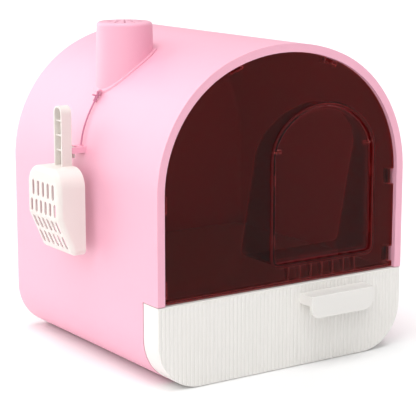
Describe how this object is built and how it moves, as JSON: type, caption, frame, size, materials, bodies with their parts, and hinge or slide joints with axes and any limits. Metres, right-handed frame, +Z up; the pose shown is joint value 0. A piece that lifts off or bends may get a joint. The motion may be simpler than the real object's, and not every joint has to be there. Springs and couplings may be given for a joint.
{
  "type": "drawer litter box",
  "caption": "Enclosed arched litter box with a tinted front and swing flap, a pull-out tray with a fluted front, a vent chimney and a hanging scoop.",
  "frame": {"origin": "centre of the cabin's flat underside, on the floor", "axes": "+Z up, the front with the drawer and the entry faces -Y, the scoop hangs on the -X side"},
  "size_m": [0.4556, 0.4148, 0.4567],
  "materials": {
    "shell": "satin-gloss pink moulded plastic",
    "tinted_panel": "dark reddish-brown see-through plastic",
    "tinted_frame": "dark reddish-brown see-through plastic",
    "tinted_flap": "dark reddish-brown see-through plastic",
    "pins": "plain drawn steel",
    "chimney": "satin-gloss pink moulded plastic",
    "vent_cap": "satin-gloss pink moulded plastic",
    "filter_cup": "plain white moulded plastic",
    "carbon": "black porous carbon",
    "hook": "satin-gloss pink moulded plastic",
    "screws": "plated steel",
    "cord": "thin pink twisted cord",
    "scoop": "satin white moulded plastic",
    "tray": "satin white moulded plastic",
    "drawer_front": "satin white moulded plastic with flutes",
    "handle": "satin white moulded plastic"
  },
  "bodies": {
    "cabin": {"shell": "shell", "front_panel": "tinted_panel", "entry_frame": "tinted_frame", "flap_pins": "pins", "chimney": "chimney", "filter_cup": "filter_cup", "carbon_filter": "carbon", "hook_bracket": "hook", "hook_screws": "screws", "hanger_cord": "cord", "cord_knot": "cord"},
    "flap": {"entry_flap": "tinted_flap"},
    "drawer": {"drawer_front": "drawer_front", "litter_tray": "tray", "front_screws": "screws", "drawer_handle": "handle", "handle_screws": "screws"},
    "cap": {"vent_cap": "vent_cap"},
    "hung_scoop": {"scoop": "scoop"}
  },
  "joints": [
    {"name": "flap_swing", "type": "hinge", "parent": "cabin", "child": "flap", "pos_m": [0.0667, -0.1839, 0.293], "axis": [1, 0, 0], "range_deg": [-70, 70]},
    {"name": "drawer_slide", "type": "slide", "parent": "cabin", "child": "drawer", "axis": [0, -1, 0], "range_m": [0, 0.34]},
    {"name": "cap_lift", "type": "slide", "parent": "cabin", "child": "cap", "axis": [0, 0, 1], "range_m": [0, 0.06]},
    {"name": "scoop_lift", "type": "slide", "parent": "cabin", "child": "hung_scoop", "axis": [0, 0, 1], "range_m": [0, 0.04]}
  ]
}
